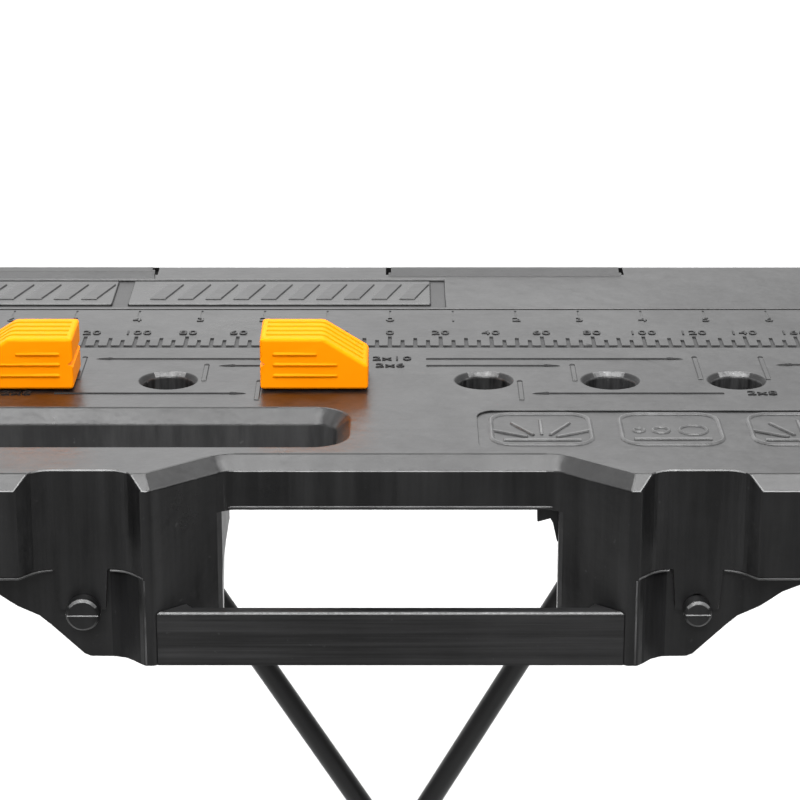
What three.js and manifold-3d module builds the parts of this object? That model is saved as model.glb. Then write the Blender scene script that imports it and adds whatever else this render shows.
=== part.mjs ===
// Compact folding workbench: a moulded plastic top with a carry handle and two
// bench dogs, on a front and a rear leg frame that fold flat under the top.
//
// Drawing frame used below, millimetres: X to the right, Y backwards from the
// front face of the top, Z up with the work surface at Z = 0. The outer group
// then moves everything so that the origin is on the floor under the middle.

import * as THREE from 'three';
import { mergeVertices } from 'three/addons/utils/BufferGeometryUtils.js';
import Module from 'manifold-3d';

const wasm = await Module();
wasm.setup();

// ---------------------------------------------------------------- dimensions
const HEIGHT = 790;            // work surface above the floor
const TOP_W = 640;             // width of the top
const TOP_D = 268;             // depth of the top
const TOP_CORNER = 18;         // plan radius of the outer corners
const CHAMFER = 5;             // chamfer round the upper edge
const SKIN = 6;                // thickness of the work surface
const WALL = 4;                // thickness of the skirt
const SKIRT = 37;              // height of the skirt
const CHEEK_Z = -71.2;         // lower end of the handle cheeks, behind; 1.1 higher in front

const HANDLE_X = 0.7;          // middle of the handle box
const GRIP_HALF = 58.1;        // half width of the set-back grip wall
const GRIP_BACK = 20.2;        // set-back of the grip wall
const CHEEK_HALF = 82.4;       // half width over the slanted cheeks
const GRIP_WALL_Z = -19.5;     // lower edge of the grip wall
const BAR_TOP_Z = -50;         // handle bar, upper and lower edge
const BAR_LOW_Z = -70.0;
const BAR_BACK = 5.2, BAR_END = 8.7; // rear face of the bar, in the middle and at its ends

const DOG_ROW_Y = 107.5;       // row of dog holes
const DOG_PITCH = 47.6;
const DOG_FIRST = 35.7;
const DOG_HOLES = 5;           // on each side of the middle
const DOG_R = 9.5;             // hole radius
const DOG_RIM_R = 11.15, DOG_RIM_Z = 2.1; // countersink, radius at the surface and depth

const SLOT_Y = 53.7;           // clamp slot centre line
const SLOT_HALF = 17;
const SLOT_X0 = -231, SLOT_X1 = -19; // ends of the slot
const SLOT_CORNER = 8.5;       // radius of its corners

// Pegs, [x, z, radius, front face]; the shank stands above the middle of the knob.
const PEGS = { left: [-106.5, -52.0, 5.8, 2.3], right: [107.7, -51.2, 4.7, 1.1] };
const SHANK_Z = -48.6;

const LEG_R = 12.5, LEG_BORE = 11;
const FRONT_X = 297, FRONT_Y = 55, FRONT_Z = -85, FRONT_SPLAY = 18; // pivot, degrees
const REAR_X = 258, REAR_Y = 205, REAR_Z = -52, REAR_SPLAY = 12;
const FRONT_BAR_Z = -650, REAR_TOP_BAR_Z = -80, REAR_LOW_BAR_Z = -690;
const FRONT_BAR_R = 11, REAR_TOP_BAR_R = 9, REAR_LOW_BAR_R = 11;
const ROD_R = 4.8, ROD_TOP_X = 103.8, ROD_SLOPE = 0.5372, ROD_TILT = 0.0232, ROD_OFF = 5.2;
const PIN_R = 5, PIN_HOLE_R = 5.3;
const FOOT_R = 17;
const STAY_ARM = 230;          // along the front leg, pivot to hook stud
const STAY_X0 = 276, STAY_X1 = 280, STAY_HALF = 10;
const GAP = 0.3;

// ------------------------------------------------------------------- helpers
const rad = (d) => (d * Math.PI) / 180;

function solid(geometry) {
  const g = geometry.clone();
  g.deleteAttribute('normal');
  g.deleteAttribute('uv');
  const m = mergeVertices(g, 1e-4);
  const idx = m.index.array, pos = m.attributes.position.array;
  const tri = [];
  for (let i = 0; i < idx.length; i += 3) {
    if (idx[i] !== idx[i + 1] && idx[i + 1] !== idx[i + 2] && idx[i + 2] !== idx[i]) tri.push(idx[i], idx[i + 1], idx[i + 2]);
  }
  return new wasm.Manifold(new wasm.Mesh({ numProp: 3, vertProperties: new Float32Array(pos), triVerts: new Uint32Array(tri) }));
}

function geometryOf(manifold) {
  const mesh = manifold.getMesh();
  const n = mesh.numProp, count = mesh.vertProperties.length / n;
  const pos = new Float32Array(count * 3);
  for (let i = 0; i < count; i++) for (let k = 0; k < 3; k++) pos[i * 3 + k] = mesh.vertProperties[i * n + k];
  const g = new THREE.BufferGeometry();
  g.setAttribute('position', new THREE.BufferAttribute(pos, 3));
  g.setIndex(new THREE.BufferAttribute(new Uint32Array(mesh.triVerts), 1));
  g.computeVertexNormals();
  return g;
}

const cut = (a, ...tools) => tools.reduce((s, t) => s.subtract(t), a);
const join = (a, ...tools) => tools.reduce((s, t) => s.add(t), a);

function box(x0, x1, y0, y1, z0, z1) {
  const g = new THREE.BoxGeometry(x1 - x0, y1 - y0, z1 - z0);
  g.translate((x0 + x1) / 2, (y0 + y1) / 2, (z0 + z1) / 2);
  return solid(g);
}

const shapeOf = (pts) => new THREE.Shape(pts.map((p) => new THREE.Vector2(p[0], p[1])));
const plain = { bevelEnabled: false, steps: 1, curveSegments: 12 };

// Outline in plan, pulled up from z0 to z1.
function prismZ(pts, z0, z1) {
  const g = new THREE.ExtrudeGeometry(shapeOf(pts), { ...plain, depth: z1 - z0 });
  g.translate(0, 0, z0);
  return solid(g);
}

// Outline in X and Z, pulled backwards from y0 to y1.
function prismY(pts, y0, y1) {
  const g = new THREE.ExtrudeGeometry(shapeOf(pts), { ...plain, depth: y1 - y0 });
  g.rotateX(Math.PI / 2);
  g.translate(0, y1, 0);
  return solid(g);
}

// Outline in Y and Z, pulled to the right from x0 to x1.
function prismX(pts, x0, x1) {
  const g = new THREE.ExtrudeGeometry(shapeOf(pts), { ...plain, depth: x1 - x0 });
  g.applyMatrix4(new THREE.Matrix4().makeBasis(new THREE.Vector3(0, 1, 0), new THREE.Vector3(0, 0, 1), new THREE.Vector3(1, 0, 0)));
  g.translate(x0, 0, 0);
  return solid(g);
}

function rod(r, a, b, seg = 20, r2 = r) {
  const A = new THREE.Vector3(...a), B = new THREE.Vector3(...b);
  const dir = B.clone().sub(A), len = dir.length();
  const g = new THREE.CylinderGeometry(r2, r, len, seg, 1);
  g.applyQuaternion(new THREE.Quaternion().setFromUnitVectors(new THREE.Vector3(0, 1, 0), dir.normalize()));
  g.translate((A.x + B.x) / 2, (A.y + B.y) / 2, (A.z + B.z) / 2);
  return solid(g);
}

// Turned piece along X: [x, radius] pairs from one end to the other.
function turnedX(profile, y, z, seg = 16) {
  const pts = [[profile[0][0], 0], ...profile, [profile[profile.length - 1][0], 0]];
  const g = new THREE.LatheGeometry(pts.map((p) => new THREE.Vector2(p[1], p[0])), seg);
  g.rotateZ(-Math.PI / 2);
  g.translate(0, y, z);
  return upright(solid(g), g);
}

// A lathe may come out facing inwards, depending on the run of its profile.
function upright(m, g) {
  if (m.volume() >= 0) return m;
  const h = g.clone();
  const i = h.index.array;
  for (let k = 0; k < i.length; k += 3) [i[k], i[k + 1]] = [i[k + 1], i[k]];
  return solid(h);
}

function arc(cx, cy, r, a0, a1, n) {
  const out = [];
  for (let i = 0; i <= n; i++) {
    const a = rad(a0 + ((a1 - a0) * i) / n);
    out.push([cx + r * Math.cos(a), cy + r * Math.sin(a)]);
  }
  return out;
}

const mirrorX = (pts) => pts.map((p) => [-p[0], p[1]]).reverse();

const roundRect = (x0, x1, y0, y1, r, n = 5) => [
  ...arc(x1 - r, y0 + r, r, -90, 0, n), ...arc(x1 - r, y1 - r, r, 0, 90, n), ...arc(x0 + r, y1 - r, r, 90, 180, n), ...arc(x0 + r, y0 + r, r, 180, 270, n),
];
const slotOutline = (more, n = 7) => roundRect(SLOT_X0 - more, SLOT_X1 + more, SLOT_Y - SLOT_HALF - more, SLOT_Y + SLOT_HALF + more, SLOT_CORNER + more, n);

// ----------------------------------------------------------------- materials
const plastic = () => new THREE.MeshStandardMaterial({ color: 0x232427, roughness: 0.42, metalness: 0.0 });
const orange = () => new THREE.MeshStandardMaterial({ color: 0xf98b0c, roughness: 0.4, metalness: 0.0 });
const coated = () => new THREE.MeshStandardMaterial({ color: 0x17181a, roughness: 0.38, metalness: 0.3 });
const zinc = () => new THREE.MeshStandardMaterial({ color: 0xa9adb2, roughness: 0.35, metalness: 1.0 });
const rubber = () => new THREE.MeshStandardMaterial({ color: 0x1b1b1c, roughness: 0.85, metalness: 0.0 });

const bench = new THREE.Group();
const assembly = new THREE.Group();
bench.add(assembly);

function part(name, manifold, material) {
  const mesh = new THREE.Mesh(geometryOf(manifold), material);
  mesh.name = name;
  assembly.add(mesh);
}

// ----------------------------------------------------------------- tabletop
const hw = TOP_W / 2, rc = TOP_CORNER;

// Blend between the slanted cheek and the grip wall.
const lean = Math.atan2(GRIP_BACK, CHEEK_HALF - GRIP_HALF);
const blendR = 10, blendT = blendR * Math.tan(lean / 2);
function gripCorner(side) {
  const pts = [];
  const cx = GRIP_HALF - blendT, cy = GRIP_BACK - blendR;
  for (let i = 0; i <= 5; i++) {
    const a = Math.PI / 2 - (lean * i) / 5;
    pts.push([cx + blendR * Math.cos(a), cy + blendR * Math.sin(a)]);
  }
  return side > 0 ? pts : mirrorX(pts);
}

const shifted = (pts) => pts.map((p) => [p[0] + HANDLE_X, p[1]]);

const outline = [
  ...arc(-hw + rc, rc, rc, 180, 270, 6),
  ...shifted([[-CHEEK_HALF, 0], ...gripCorner(-1), ...gripCorner(1), [CHEEK_HALF, 0]]),
  ...arc(hw - rc, rc, rc, 270, 360, 6),
  ...arc(hw - rc, TOP_D - rc, rc, 0, 90, 6),
  ...arc(-hw + rc, TOP_D - rc, rc, 90, 180, 6),
];

const capGeometry = new THREE.ExtrudeGeometry(shapeOf(outline), {
  depth: 20 - 2 * CHAMFER, bevelEnabled: true, bevelSegments: 1, bevelThickness: CHAMFER, bevelSize: CHAMFER, bevelOffset: -CHAMFER, steps: 1,
});
capGeometry.translate(0, 0, -20 + CHAMFER);

let top = join(solid(capGeometry), prismZ(outline, -SKIRT, -CHAMFER - 1));

// Raised lips along the rear edge.
const lip = (x0, x1, y0) => prismX([[y0, -2], [y0, 0], [y0 + 4.2, 2.2], [255.2, 2.2], [261.5, 0], [261.5, -2]], x0, x1);
top = join(top, lip(-300, -99.8, 245.2), lip(-0.9, 97.8, 249.2));

// Hollow underside.
const hollowHalf = [
  [0, GRIP_BACK + WALL], [59, GRIP_BACK + WALL], [62.5, 21.1], [73.8, 12], [123.5, 12], [131.5, WALL],
  [hw - rc, WALL], ...arc(hw - rc, rc, rc - WALL, 275, 355, 4), ...arc(hw - rc, TOP_D - rc, rc - WALL, 5, 85, 4), [0, TOP_D - WALL],
];
const hollow = [...hollowHalf, ...hollowHalf.slice(1, -1).map((p) => [-p[0], p[1]]).reverse()];
top = cut(top, prismZ(hollow, -SKIRT - 3, -SKIN));

// Stiffening ribs, hole bosses and the wall round the clamp slot.
for (const y of [86, 150, 240]) top = join(top, box(-hw + 2, hw - 2, y - 1.5, y + 1.5, -25, -SKIN + 1));
for (const x of [59.5, 154.8, 202.4]) for (const s of [-1, 1]) top = join(top, box(s * x - 1.5, s * x + 1.5, 20, TOP_D - 2, -25, -SKIN + 1));
const holesX = [];
for (let i = 0; i < DOG_HOLES; i++) holesX.push(-(DOG_FIRST + i * DOG_PITCH), DOG_FIRST + i * DOG_PITCH);
for (const x of holesX) top = join(top, rod(DOG_R + 4, [x, DOG_ROW_Y, -29], [x, DOG_ROW_Y, -SKIN + 1], 16));
top = join(top, prismZ(slotOutline(3.5), -30, -SKIN + 1));

// Cheeks of the handle box, gussets beside them and the peg tabs.
const cheek = [
  [88.5, 0], [98, 8.2], [98, 13], [73.8, 13], [65.2, 21.3], [63.4, 32], [57, 32], [57, 21.5],
  ...gripCorner(1).slice(3), [CHEEK_HALF, 0],
];
const gusset = [
  [73, -30], [152, -30], [152, -41.5], [144.5, -44.2], [138, -46.9], [133.4, -50.2], [130.3, -52.3], [122.7, -55.9], [118.9, -59.2],
  [107.4, -70.3], [105.6, -71.1], [94.5, -71.2], [73, -71.2],
];
const tab = (x) => [[x, -30], [116.9, -30], [115.6, -51.9], [x + 1.4, -51.9]];
for (const s of [-1, 1]) {
  const flip = (pts) => (s > 0 ? pts : mirrorX(pts));
  top = join(top, prismZ(shifted(flip(cheek)), CHEEK_Z, -12), prismY(flip(gusset), 11.5, 15), prismY(flip(tab(s > 0 ? 98.9 : 97.5)), 8, 12));
}

// Scallops in the front face above the pegs.
const bend = (a, b, c, n) => {
  const out = [];
  for (let i = 0; i <= n; i++) {
    const t = i / n;
    out.push([0, 1].map((k) => (1 - t) * (1 - t) * a[k] + 2 * t * (1 - t) * b[k] + t * t * c[k]));
  }
  return out;
};
const scallop = (k) => [
  [84 + k, -1], [84.9 + k, 0], ...bend([88.6 + k, 4.2], [91.9 + k, 8], [97 + k / 2, 8], 6),
  ...bend([115.8, 8], [120.9, 8], [124.2, 4.2], 6), [127.9, 0], [128.8, -1],
];
// Below the skirt the wall runs on from the gusset to the front corner of the cheek.
const under = (k) => [
  [83.7 + k, -1], [85.1 + k, 0], ...bend([87.5 + k, 3.1], [93.2 + k / 2, 11.5], [97.3, 11.5], 6), [97.3 + k * 0.8, 11.5], [97.3 + k * 0.8, -1],
];
for (const s of [-1, 1]) {
  const k = s > 0 ? 1.9 : 0;
  const flip = (pts) => (s > 0 ? pts : mirrorX(pts));
  top = cut(
    top, prismZ(flip(scallop(k)), -90, 8), prismZ(flip(under(k)), -90, -SKIRT),
    prismX([[-3, -69.81], [11.5, -71.2], [11.5, -95], [-3, -95]], s > 0 ? 55 : -100, s > 0 ? 100 : -55),
  );
}

// The hand-hold below the grip wall, with bevelled front edges.
const handHold = [[-60.9, -5], [62.2, -5], [62.2, 16.9], [59.7, 19.9], [61.2, 60], [-60, 60], [-58.6, 19.9], [-60.9, 16.9]];
top = cut(top, prismZ(handHold, -90, GRIP_WALL_Z));

// Webs in the two upper corners of the hand-hold.
const webLeft = prismZ([[-61, 18.9], [-58.5, 19.9], [-56.4, 31], [-61, 31]], -53, -14)
  .intersect(prismY([[-62, -14], [-62, -53], [-58.9, -53], [-58.5, -41], [-57.8, -34.8], [-56.4, -26.5], [-56.4, -14]], 15, 33));
const webRight = [[52.3, -14], [52.5, -26.7], [57.1, -25.1], [58, -26.8], [59.5, -33.5], [61.8, -36], [61.8, -14]];
top = join(top, webLeft, prismY(webRight, 27, 31));

// Dog holes with a countersunk rim.
for (const x of holesX) {
  const rim = DOG_RIM_R - DOG_R;
  top = cut(top, rod(DOG_R, [x, DOG_ROW_Y, -40], [x, DOG_ROW_Y, 5], 32), rod(DOG_R, [x, DOG_ROW_Y, -DOG_RIM_Z], [x, DOG_ROW_Y, 2], 32, DOG_R + (rim * (DOG_RIM_Z + 2)) / DOG_RIM_Z));
}

// Clamp slot with a chamfered mouth.
const slotMouth = new THREE.ExtrudeGeometry(shapeOf(slotOutline(0)), {
  depth: 10, bevelEnabled: true, bevelSegments: 1, bevelThickness: CHAMFER + 1, bevelSize: CHAMFER + 1, bevelOffset: 0, steps: 1,
});
slotMouth.translate(0, 0, 1);
top = cut(top, prismZ(slotOutline(0), -40, 3), solid(slotMouth));

// The shallow panel on the right, the step line behind the ruler, and the sunk
// band behind it, in which two flat plates stand up to the work surface.
const band = cut(
  box(-304, 22.5, 203.4, 244.4, -1.1, 1),
  box(-107.7, 16.7, 208.6, 241.4, -2, 2), box(-238, -114, 208.6, 241.4, -2, 2),
);
top = cut(top, prismZ(roundRect(32, 238, 28.4, 72.3, 7), -0.7, 2), band, box(-304, 304, 199.4, 201.2, -1.1, 1));

// Slits between the lips along the rear edge.
for (const x of [-99.8, -0.9, 97.8]) top = cut(top, box(x - 1.1, x + 1.1, 251, 262, -14, 6));

// Holes for the pegs, the handle screws and the bracket screws.
const pegHoles = Object.values(PEGS).map(([x]) => rod(2.3, [x, 5, SHANK_Z], [x, 20, SHANK_Z], 16));
top = cut(top, ...pegHoles);
const nx = Math.sin(lean), ny = Math.cos(lean); // from the face into the cheek, away from the grip
const screwX = 75.4, screwFaceY = ((CHEEK_HALF - screwX) / (CHEEK_HALF - GRIP_HALF)) * GRIP_BACK;
const along = (s, d) => [s * (screwX + nx * d) + HANDLE_X, screwFaceY + ny * d, -60];
for (const s of [-1, 1]) top = cut(top, rod(2.3, along(s, -1), along(s, 14), 16), rod(4.6, along(s, 5), along(s, 20), 20));

const bracketScrews = [];
for (const s of [-1, 1]) {
  for (const dy of [-12, 12]) {
    bracketScrews.push(['front', s, FRONT_X * s, FRONT_Y + dy, dy]);
    bracketScrews.push(['rear', s, REAR_X * s, REAR_Y + dy, dy]);
  }
}
for (const [, , x, y] of bracketScrews) top = cut(top, rod(2.3, [x, y, -10], [x, y, -2], 10));
part('tabletop', top, plastic());

// ------------------------------------------------------- handle bar and pegs
const barFace = (y) => CHEEK_HALF - (y / GRIP_BACK) * (CHEEK_HALF - GRIP_HALF) - 0.45;
const barEnd = [[barFace(0.5), 0.5], [barFace(BAR_END), BAR_END], [barFace(BAR_END) - 2.2, BAR_BACK]];
let bar = prismZ(shifted([...barEnd, ...mirrorX(barEnd)]), BAR_LOW_Z, BAR_TOP_Z);
for (const s of [-1, 1]) bar = cut(bar, rod(2.3, along(s, -3.6), along(s, 2), 16));
bar = cut(bar, prismX([[-2, BAR_TOP_Z + 1], [-2, BAR_TOP_Z - 3.3], [2.3, BAR_TOP_Z + 1]], -90, 90));
part('carry_handle_bar', bar, plastic());

for (const [s, side] of [[-1, 'left'], [1, 'right']]) {
  const shank = rod(2, along(s, -3.2), along(s, 5.4), 12);
  const head = rod(4, along(s, 5.2), along(s, 7.6), 14);
  part(`handle_screw_${side}`, join(shank, head), zinc());
}

for (const side of ['left', 'right']) {
  const [x, z, r, face] = PEGS[side];
  const knob = rod(r, [x, face, z], [x, 7.7, z], 28);
  const shank = rod(2, [x, 5, SHANK_Z], [x, 19, SHANK_Z], 16);
  part(`peg_${side}`, join(knob, shank), plastic());
  const clip = cut(rod(5, [x, 15.4, SHANK_Z], [x, 17, SHANK_Z], 14), rod(2.3, [x, 15, SHANK_Z], [x, 18, SHANK_Z], 12));
  part(`peg_clip_${side}`, clip, zinc());
}

// ------------------------------------------------------------- leg brackets
const faceBelow = -SKIN - GAP;
function bracket(x, y, z, r, width) {
  const inner = LEG_R + 1.2, outer = inner + 2.5;
  const ear = (x0, x1) => {
    const pts = [[y - width / 2, faceBelow - 1], [y - width / 2, z + r * 1.6], ...arc(y, z, r, 190, 350, 8), [y + width / 2, z + r * 1.6], [y + width / 2, faceBelow - 1]];
    return prismX(pts, x0, x1);
  };
  let b = join(box(x - outer, x + outer, y - width / 2, y + width / 2, faceBelow - 2.6, faceBelow), ear(x - outer, x - inner), ear(x + inner, x + outer));
  b = cut(b, rod(PIN_HOLE_R, [x - 30, y, z], [x + 30, y, z], 16));
  for (const dy of [-12, 12]) b = cut(b, rod(2.3, [x, y + dy, -20], [x, y + dy, 0], 10));
  return b;
}

for (const [s, side] of [[-1, 'left'], [1, 'right']]) {
  part(`front_bracket_${side}`, bracket(s * FRONT_X, FRONT_Y, FRONT_Z, 14, 36), coated());
  part(`rear_bracket_${side}`, bracket(s * REAR_X, REAR_Y, REAR_Z, 14, 36), coated());
  // Front pins carry their head on the outside, rear pins on the inside.
  const f = [[-18.5, 8], [-16.5, 8], [-16.5, PIN_R], [16.4, PIN_R]];
  const px = (profile, x, sign) => profile.map(([a, r]) => [x + sign * a, r]);
  part(`front_pivot_pin_${side}`, turnedX(px(f, s * FRONT_X, -s), FRONT_Y, FRONT_Z), zinc());
  part(`rear_pivot_pin_${side}`, turnedX(px(f, s * REAR_X, s), REAR_Y, REAR_Z), zinc());
}

for (const [frame, s, x, y, dy] of bracketScrews) {
  const name = `${frame}_bracket_screw_${s < 0 ? 'left' : 'right'}_${dy < 0 ? 'a' : 'b'}`;
  const under = faceBelow - 2.6 - GAP;
  part(name, join(rod(2, [x, y, under - 0.5], [x, y, -2.4], 8), rod(4, [x, y, under - 2.4], [x, y, under], 12)), zinc());
}

// -------------------------------------------------------------- leg frames
const fs = Math.sin(rad(FRONT_SPLAY)), fc = Math.cos(rad(FRONT_SPLAY));
const bs = Math.sin(rad(REAR_SPLAY)), bc = Math.cos(rad(REAR_SPLAY));
const onFront = (x, d) => [x, FRONT_Y - fs * d, FRONT_Z - fc * d];
const onRear = (x, d, n = 0) => [x, REAR_Y + bs * d + bc * n, REAR_Z - bc * d + bs * n];
const frontRun = (HEIGHT + FRONT_Z) / fc, rearRun = (HEIGHT + REAR_Z) / bc;
const frontAt = (z) => (FRONT_Z - z) / fc, rearAt = (z) => (REAR_Z - z) / bc;

function legTube(at, x, run, crossHoles) {
  let t = cut(rod(LEG_R, at(x, -16), at(x, run - 14)), rod(LEG_BORE, at(x, -20), at(x, run)));
  const p = at(x, 0);
  t = cut(t, rod(PIN_HOLE_R, [x - 30, p[1], p[2]], [x + 30, p[1], p[2]], 16));
  for (const [d, x0, x1, r] of crossHoles) {
    const q = at(x, d);
    t = cut(t, rod(r, [x0, q[1], q[2]], [x1, q[1], q[2]], 14));
  }
  return t;
}

function foot(at, x, run) {
  const f = cut(rod(FOOT_R, at(x, run - 56), at(x, run + 12), 24), rod(LEG_R + GAP, at(x, run - 80), at(x, run - 13.7)));
  return cut(f, box(x - 60, x + 60, -700, 900, -HEIGHT - 60, -HEIGHT));
}

function plug(at, x) {
  return join(rod(LEG_BORE - GAP, at(x, -17.5), at(x, -8), 16), rod(LEG_R, at(x, -19), at(x, -16.3)));
}

const stayZ = onFront(0, STAY_ARM)[2];
const rearArm = rearAt(stayZ);

for (const [s, side] of [[-1, 'left'], [1, 'right']]) {
  const xf = s * FRONT_X, xr = s * REAR_X;
  part(`front_leg_${side}`, legTube(onFront, xf, frontRun, [[STAY_ARM, xf - s * 20, xf, 4.3]]), coated());
  part(`rear_leg_${side}`, legTube(onRear, xr, rearRun, [[rearArm, xr, xr + s * 20, 4.3]]), coated());
  part(`front_foot_${side}`, foot(onFront, xf, frontRun), rubber());
  part(`rear_foot_${side}`, foot(onRear, xr, rearRun), rubber());
  part(`front_leg_plug_${side}`, plug(onFront, xf), plastic());
  part(`rear_leg_plug_${side}`, plug(onRear, xr), plastic());
}

function crossbar(at, d, x, r) {
  const a = at(-x, d), b = at(x, d);
  let c = cut(rod(r, a, b), rod(r - 1.6, [a[0] - 20, a[1], a[2]], [b[0] + 20, b[1], b[2]]));
  for (const s of [-1, 1]) c = cut(c, rod(LEG_R + GAP, at(s * x, d - 60), at(s * x, d + 60)));
  return c;
}

const frontBarAt = frontAt(FRONT_BAR_Z), rearTopAt = rearAt(REAR_TOP_BAR_Z), rearLowAt = rearAt(REAR_LOW_BAR_Z);
const frontBar = crossbar(onFront, frontBarAt, FRONT_X, FRONT_BAR_R);
const rearTop = crossbar(onRear, rearTopAt, REAR_X, REAR_TOP_BAR_R);
const rearLow = crossbar(onRear, rearLowAt, REAR_X, REAR_LOW_BAR_R);
part('front_crossbar', frontBar, coated());
part('rear_upper_crossbar', rearTop, coated());
part('rear_lower_crossbar', rearLow, coated());

// Crossed brace rods of the rear frame, one just in front of the other.
const rodX = (z) => ROD_TOP_X - ROD_SLOPE * (REAR_TOP_BAR_Z - z);
const crossZ = REAR_TOP_BAR_Z - ROD_TOP_X / ROD_SLOPE;
const crossAt = rearAt(crossZ);
const tilt = (z) => ROD_TILT * (crossZ - z); // the whole cross leans a little
for (const [s, name] of [[-1, 'brace_rod_left'], [1, 'brace_rod_right']]) {
  const n = -s * ROD_OFF;
  let r = rod(ROD_R, onRear(s * rodX(REAR_TOP_BAR_Z) + tilt(REAR_TOP_BAR_Z), rearTopAt, n), onRear(s * rodX(REAR_LOW_BAR_Z) + tilt(REAR_LOW_BAR_Z), rearLowAt, n), 14);
  const bars = [[rearTopAt, REAR_TOP_BAR_R], [rearLowAt, REAR_LOW_BAR_R]];
  for (const [d, br] of bars) {
    const p = onRear(0, d);
    r = cut(r, rod(br + GAP, [-300, p[1], p[2]], [300, p[1], p[2]]));
  }
  r = cut(r, rod(2.8, onRear(0, crossAt, -20), onRear(0, crossAt, 20), 10));
  part(name, r, coated());
}
part('brace_rivet', join(
  rod(2.5, onRear(0, crossAt, -11.1), onRear(0, crossAt, 11.1), 10),
  rod(4, onRear(0, crossAt, -12.2), onRear(0, crossAt, -10.3), 12), rod(4, onRear(0, crossAt, 10.3), onRear(0, crossAt, 12.2), 12),
), zinc());

// Side stays: pinned to the rear legs, hooked over a stud on the front legs.
const hook = onFront(0, STAY_ARM), hinge = onRear(0, rearArm);
for (const [s, side] of [[-1, 'left'], [1, 'right']]) {
  const x0 = Math.min(s * STAY_X0, s * STAY_X1), x1 = Math.max(s * STAY_X0, s * STAY_X1);
  const outlineYZ = [...arc(hinge[1], stayZ, STAY_HALF, -90, 90, 8), ...arc(hook[1] - 3, stayZ, STAY_HALF, 90, 270, 8)];
  let stay = prismX(outlineYZ, x0, x1);
  stay = cut(stay, rod(4.35, [x0 - 5, hinge[1], stayZ], [x1 + 5, hinge[1], stayZ], 16));
  // The hook's mouth leans back along the way the stud leaves it.
  const dy = 0.4, dz = -0.916, w = 4.8;
  const mouth = [[hook[1] - w * 0.916, stayZ - w * 0.4], [hook[1] - w * 0.916 + dy * 24, stayZ - w * 0.4 + dz * 24], [hook[1] + w * 1.1 + dy * 24 + 2.5, stayZ + w * 0.4 + dz * 24], [hook[1] + w * 0.916, stayZ + w * 0.4]];
  stay = cut(stay, rod(w, [x0 - 5, hook[1], stayZ], [x1 + 5, hook[1], stayZ], 16), prismX(mouth, x0 - 5, x1 + 5));
  part(`side_stay_${side}`, stay, coated());
  const spun = (profile) => profile.map(([a, r]) => [s * a, r]);
  part(`stay_pin_${side}`, turnedX(spun([[264, 4], [271, 4], [271, 6], [275.6, 6], [275.6, 4], [280.4, 4], [280.4, 7], [282.8, 7]]), hinge[1], stayZ), zinc());
  part(`stay_stud_${side}`, turnedX(spun([[273, 7], [275.6, 7], [275.6, 4], [280.4, 4], [280.4, 6], [284, 6], [284, 4], [291, 4]]), hook[1], stayZ), zinc());
}

// -------------------------------------------------------------- bench dogs
// The left dog faces right and the right dog faces left, so that they grip a
// board between them. Each turns and lifts in its hole on a rubber ring.
for (const [s, side, hx] of [[-1, 'left', -(DOG_FIRST + 2 * DOG_PITCH)], [1, 'right', -DOG_FIRST]]) {
  const rise = (u, z) => [hx + s * u, z];
  const head = [rise(-12.6, GAP), rise(27.6, GAP), rise(27.6, 9.9), rise(11, 20.3), rise(-12.6, 20.3)];
  const block = prismY(s > 0 ? head : head.slice().reverse(), DOG_ROW_Y - 13.5, DOG_ROW_Y + 13.5);
  const notch = [rise(-13.6, 8.4), rise(-13.6, 12.6), rise(-10.8, 10.5)];
  const cutNotch = prismY(s > 0 ? notch.slice().reverse() : notch, DOG_ROW_Y - 20, DOG_ROW_Y + 20);
  const peg = new THREE.LatheGeometry([[0, -27], [7.2, -27], [8.7, -25], [8.7, -16], [7, -15.2], [7, -9.8], [8.7, -9], [8.7, 2], [0, 2]].map((p) => new THREE.Vector2(p[0], p[1])), 20);
  peg.rotateX(Math.PI / 2);
  peg.translate(hx, DOG_ROW_Y, 0);
  part(`bench_dog_${side}`, join(cut(block, cutNotch), upright(solid(peg), peg)), orange());
  const ring = new THREE.LatheGeometry([[7.4, -13.6], [8.2, -14.4], [9.15, -13.4], [9.15, -11.6], [8.2, -10.6], [7.4, -11.4], [7.4, -13.6]].map((p) => new THREE.Vector2(p[0], p[1])), 20);
  ring.rotateX(Math.PI / 2);
  ring.translate(hx, DOG_ROW_Y, 0);
  part(`dog_ring_${side}`, upright(solid(ring), ring), rubber());
}

// --------------------------------------------- origin under the middle, floor
assembly.updateMatrixWorld(true);
const extent = new THREE.Box3().setFromObject(assembly);
assembly.position.set(0, -(extent.min.y + extent.max.y) / 2, HEIGHT);

export default bench;
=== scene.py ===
import math

import bmesh
import bpy
from mathutils import Matrix, Vector
from mathutils.bvhtree import BVHTree


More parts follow.
